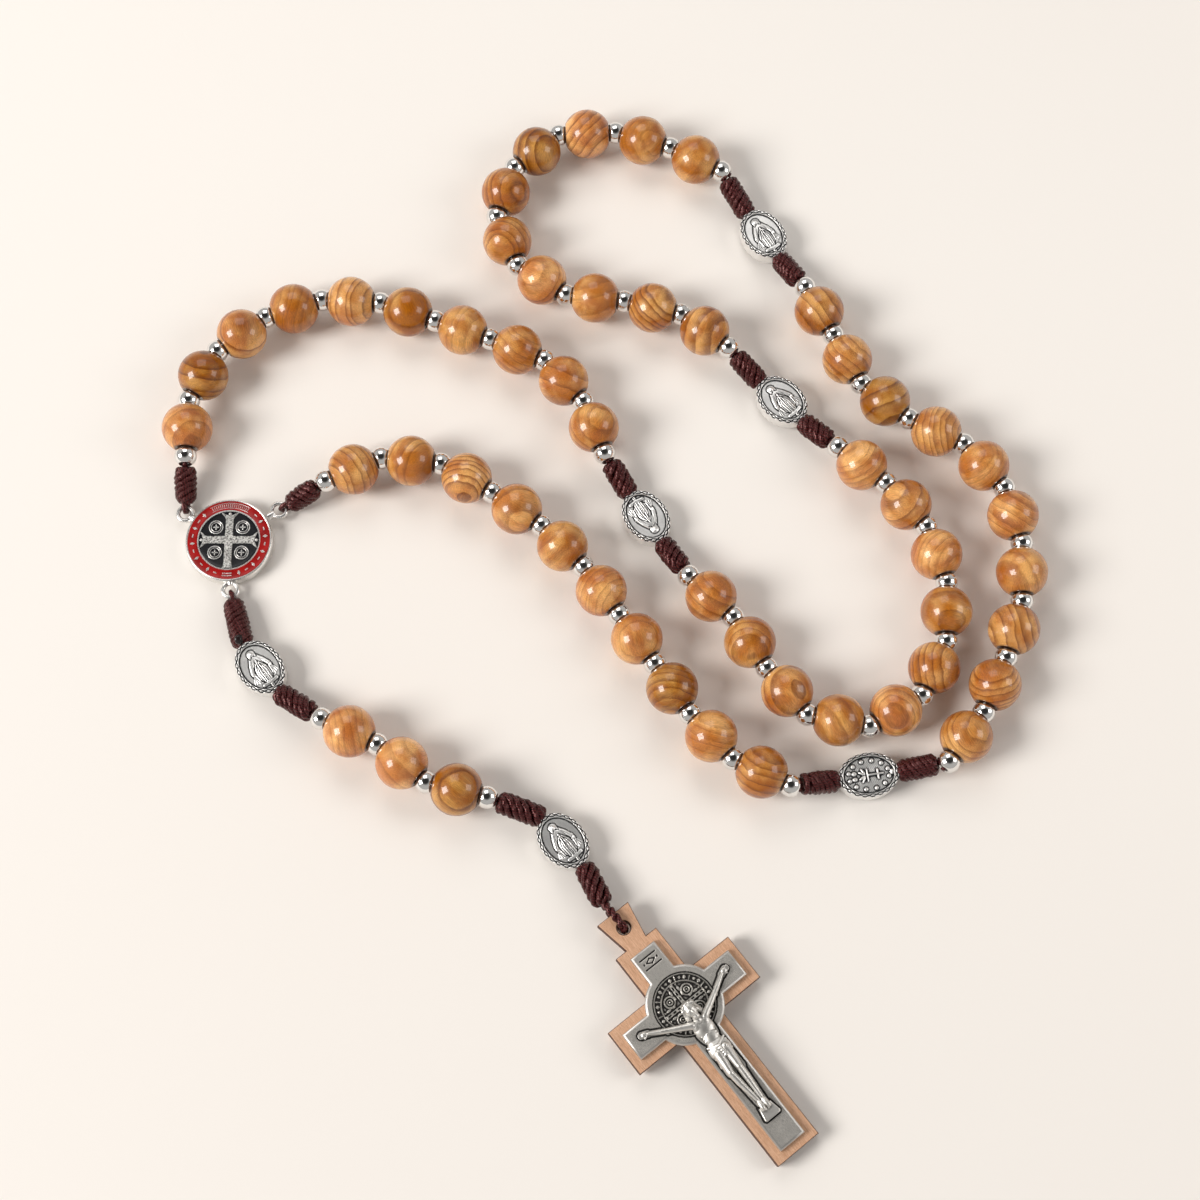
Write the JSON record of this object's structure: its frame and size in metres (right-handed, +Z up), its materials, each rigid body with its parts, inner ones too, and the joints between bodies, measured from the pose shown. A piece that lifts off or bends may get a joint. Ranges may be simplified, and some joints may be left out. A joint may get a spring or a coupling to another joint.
{
  "type": "rosary",
  "caption": "Five-decade wooden rosary with steel spacers, oval medals, an enamelled round centre medal and a wooden crucifix, on a knotted cord.",
  "frame": {"origin": "middle of the centre medal's flat back, on the table", "axes": "+Z up from the table, +Y away from the crucifix, +X from the centre medal towards the far side of the loop"},
  "size_m": [0.1741, 0.2125, 0.0105],
  "materials": {
    "bead_wood": "glossy lacquer over striped pine",
    "spacer_steel": "mirror polish",
    "cord": "glossy twisted nylon",
    "medal_silver": "antique silver with dark recesses",
    "centre_metal": "satin silver",
    "enamel_red": "gloss enamel",
    "enamel_black": "gloss enamel",
    "cross_wood": "smooth face, dark laser-cut edges",
    "cross_metal": "satin pewter with dark recesses",
    "corpus_metal": "bright pewter"
  },
  "bodies": {
    "centre_medal": {"centre_medal": "centre_metal", "enamel_red": "enamel_red", "enamel_black": "enamel_black"},
    "left_ring_knot": {"left_ring_knot": "cord"},
    "right_ring_knot": {"right_ring_knot": "cord"},
    "decade_1a": {"decade_1a_beads": "bead_wood", "decade_1a_spacers": "spacer_steel", "decade_1a_cord": "cord"},
    "decade_1b": {"decade_1b_beads": "bead_wood", "decade_1b_spacers": "spacer_steel", "decade_1b_cord": "cord"},
    "decade_2a": {"decade_2a_beads": "bead_wood", "decade_2a_spacers": "spacer_steel", "decade_2a_cord": "cord"},
    "decade_2b": {"decade_2b_beads": "bead_wood", "decade_2b_spacers": "spacer_steel", "decade_2b_cord": "cord"},
    "decade_3a": {"decade_3a_beads": "bead_wood", "decade_3a_spacers": "spacer_steel", "decade_3a_cord": "cord"},
    "decade_3b": {"decade_3b_beads": "bead_wood", "decade_3b_spacers": "spacer_steel", "decade_3b_cord": "cord"},
    "decade_4a": {"decade_4a_beads": "bead_wood", "decade_4a_spacers": "spacer_steel", "decade_4a_cord": "cord"},
    "decade_4b": {"decade_4b_beads": "bead_wood", "decade_4b_spacers": "spacer_steel", "decade_4b_cord": "cord"},
    "decade_5a": {"decade_5a_beads": "bead_wood", "decade_5a_spacers": "spacer_steel", "decade_5a_cord": "cord"},
    "decade_5b": {"decade_5b_beads": "bead_wood", "decade_5b_spacers": "spacer_steel", "decade_5b_cord": "cord"},
    "link_1": {"link_1": "cord"},
    "link_2": {"link_2": "cord"},
    "link_3": {"link_3": "cord"},
    "link_4": {"link_4": "cord"},
    "medal_1": {"medal_1": "medal_silver"},
    "medal_2": {"medal_2": "medal_silver"},
    "medal_3": {"medal_3": "medal_silver"},
    "medal_4": {"medal_4": "medal_silver"},
    "medal_5": {"medal_5": "medal_silver"},
    "medal_6": {"medal_6": "medal_silver"},
    "pendant_top_link": {"pendant_top_link": "cord"},
    "pendant_string": {"pendant_cord": "cord", "pendant_spacers": "spacer_steel"},
    "pendant_bead_1": {"pendant_bead_1": "bead_wood"},
    "pendant_bead_2": {"pendant_bead_2": "bead_wood"},
    "pendant_bead_3": {"pendant_bead_3": "bead_wood"},
    "pendant_low_link": {"pendant_low_link": "cord"},
    "crucifix_loop": {"crucifix_loop": "cord"},
    "crucifix": {"wood_cross": "cross_wood", "metal_cross": "cross_metal", "corpus": "corpus_metal"}
  },
  "joints": [
    {"name": "left_ring_fold", "type": "hinge", "parent": "centre_medal", "child": "left_ring_knot", "pos_m": [-0.00907, 0.0058, 0.0015], "axis": [1, -0.0021, 0], "range_deg": [-40, 20]},
    {"name": "decade_1_fold", "type": "hinge", "parent": "left_ring_knot", "child": "decade_1a", "pos_m": [-0.00904, 0.01675, 0.005], "axis": [-1, -0.0008, 0], "range_deg": [-35, 35]},
    {"name": "decade_1_middle_fold", "type": "hinge", "parent": "decade_1a", "child": "decade_1b", "pos_m": [0.02845, 0.05002, 0.005], "axis": [-0.1966, -0.9805, 0], "range_deg": [-35, 35]},
    {"name": "link_1_fold", "type": "hinge", "parent": "decade_1b", "child": "link_1", "pos_m": [0.07389, 0.01729, 0.005], "axis": [0.8924, 0.4512, 0], "range_deg": [-35, 35]},
    {"name": "decade_2_fold", "type": "hinge", "parent": "link_1", "child": "decade_2a", "pos_m": [0.09025, -0.00825, 0.005], "axis": [-0.7773, -0.6292, 0], "range_deg": [-35, 35]},
    {"name": "decade_2_middle_fold", "type": "hinge", "parent": "decade_2a", "child": "decade_2b", "pos_m": [0.13436, -0.03216, 0.005], "axis": [-0.7361, 0.6769, 0], "range_deg": [-35, 35]},
    {"name": "link_2_fold", "type": "hinge", "parent": "decade_2b", "child": "link_2", "pos_m": [0.12013, 0.0186, 0.005], "axis": [0.6747, 0.7381, 0], "range_deg": [-35, 35]},
    {"name": "decade_3_fold", "type": "hinge", "parent": "link_2", "child": "decade_3a", "pos_m": [0.09883, 0.04018, 0.005], "axis": [-0.665, -0.7469, 0], "range_deg": [-35, 35]},
    {"name": "decade_3_middle_fold", "type": "hinge", "parent": "decade_3a", "child": "decade_3b", "pos_m": [0.05176, 0.06955, 0.005], "axis": [0.9991, 0.043, 0], "range_deg": [-35, 35]},
    {"name": "right_ring_fold", "type": "hinge", "parent": "centre_medal", "child": "right_ring_knot", "pos_m": [0.00942, 0.0066, 0.0015], "axis": [-0.4524, 0.8918, 0], "range_deg": [-20, 40]},
    {"name": "decade_5_fold", "type": "hinge", "parent": "right_ring_knot", "child": "decade_5b", "pos_m": [0.01889, 0.0114, 0.005], "axis": [0.432, -0.9019, 0], "range_deg": [-35, 35]},
    {"name": "decade_5_middle_fold", "type": "hinge", "parent": "decade_5b", "child": "decade_5a", "pos_m": [0.06982, -0.0064, 0.005], "axis": [0.7687, 0.6396, 0], "range_deg": [-35, 35]},
    {"name": "link_4_fold", "type": "hinge", "parent": "decade_5a", "child": "link_4", "pos_m": [0.10882, -0.0497, 0.005], "axis": [-0.1433, -0.9897, 0], "range_deg": [-35, 35]},
    {"name": "decade_4_fold", "type": "hinge", "parent": "link_4", "child": "decade_4b", "pos_m": [0.13879, -0.04507, 0.005], "axis": [-0.5136, 0.8581, 0], "range_deg": [-35, 35]},
    {"name": "decade_4_middle_fold", "type": "hinge", "parent": "decade_4b", "child": "decade_4a", "pos_m": [0.15259, 0.01003, 0.005], "axis": [0.8976, 0.4409, 0], "range_deg": [-35, 35]},
    {"name": "link_3_fold", "type": "hinge", "parent": "decade_4a", "child": "link_3", "pos_m": [0.11473, 0.05354, 0.005], "axis": [-0.8712, -0.491, 0], "range_deg": [-35, 35]},
    {"name": "medal_1_roll", "type": "hinge", "parent": "link_1", "child": "medal_1", "pos_m": [0.08207, 0.00452, 0.0023], "axis": [0.5394, -0.8421, 0], "continuous": true},
    {"name": "medal_2_roll", "type": "hinge", "parent": "link_2", "child": "medal_2", "pos_m": [0.10948, 0.02939, 0.0023], "axis": [-0.7025, 0.7117, 0], "continuous": true},
    {"name": "medal_3_roll", "type": "hinge", "parent": "link_3", "child": "medal_3", "pos_m": [0.10671, 0.06641, 0.0023], "axis": [0.5291, -0.8486, 0], "continuous": true},
    {"name": "medal_4_roll", "type": "hinge", "parent": "link_4", "child": "medal_4", "pos_m": [0.1238, -0.04738, 0.0023], "axis": [-0.9883, -0.1527, 0], "continuous": true},
    {"name": "pendant_swing", "type": "hinge", "parent": "centre_medal", "child": "pendant_top_link", "pos_m": [0.0007, -0.01008, 0.0015], "axis": [0, 0, 1], "range_deg": [-60, 8]},
    {"name": "medal_5_roll", "type": "hinge", "parent": "pendant_top_link", "child": "medal_5", "pos_m": [0.00765, -0.02622, 0.0023], "axis": [0.6157, -0.788, 0], "continuous": true},
    {"name": "pendant_fold", "type": "hinge", "parent": "pendant_top_link", "child": "pendant_string", "pos_m": [0.02007, -0.03682, 0.005], "axis": [-0.4886, -0.8725, 0], "range_deg": [-35, 35]},
    {"name": "pendant_bead_1_spin", "type": "hinge", "parent": "pendant_string", "child": "pendant_bead_1", "pos_m": [0.02549, -0.03928, 0.005], "axis": [0.91, -0.4147, 0], "continuous": true},
    {"name": "pendant_bead_2_spin", "type": "hinge", "parent": "pendant_string", "child": "pendant_bead_2", "pos_m": [0.03559, -0.04541, 0.005], "axis": [0.788, -0.6157, 0], "continuous": true},
    {"name": "pendant_bead_3_spin", "type": "hinge", "parent": "pendant_string", "child": "pendant_bead_3", "pos_m": [0.04605, -0.05052, 0.005], "axis": [0.9703, -0.2419, 0], "continuous": true},
    {"name": "pendant_turn", "type": "hinge", "parent": "pendant_string", "child": "pendant_low_link", "pos_m": [0.05182, -0.05196, 0.005], "axis": [0, 0, 1], "range_deg": [-40, 15]},
    {"name": "medal_6_roll", "type": "hinge", "parent": "pendant_low_link", "child": "medal_6", "pos_m": [0.06608, -0.0599, 0.0023], "axis": [0.6428, -0.766, 0], "continuous": true},
    {"name": "crucifix_fold", "type": "hinge", "parent": "pendant_low_link", "child": "crucifix_loop", "pos_m": [0.07366, -0.07152, 0.00273], "axis": [0.7848, 0.6198, 0], "range_deg": [-30, 25]},
    {"name": "crucifix_turn", "type": "hinge", "parent": "crucifix_loop", "child": "crucifix", "pos_m": [0.07738, -0.07622, 0.0026], "axis": [-0.0136, 0.0172, -0.9998], "range_deg": [-15, 15]}
  ]
}
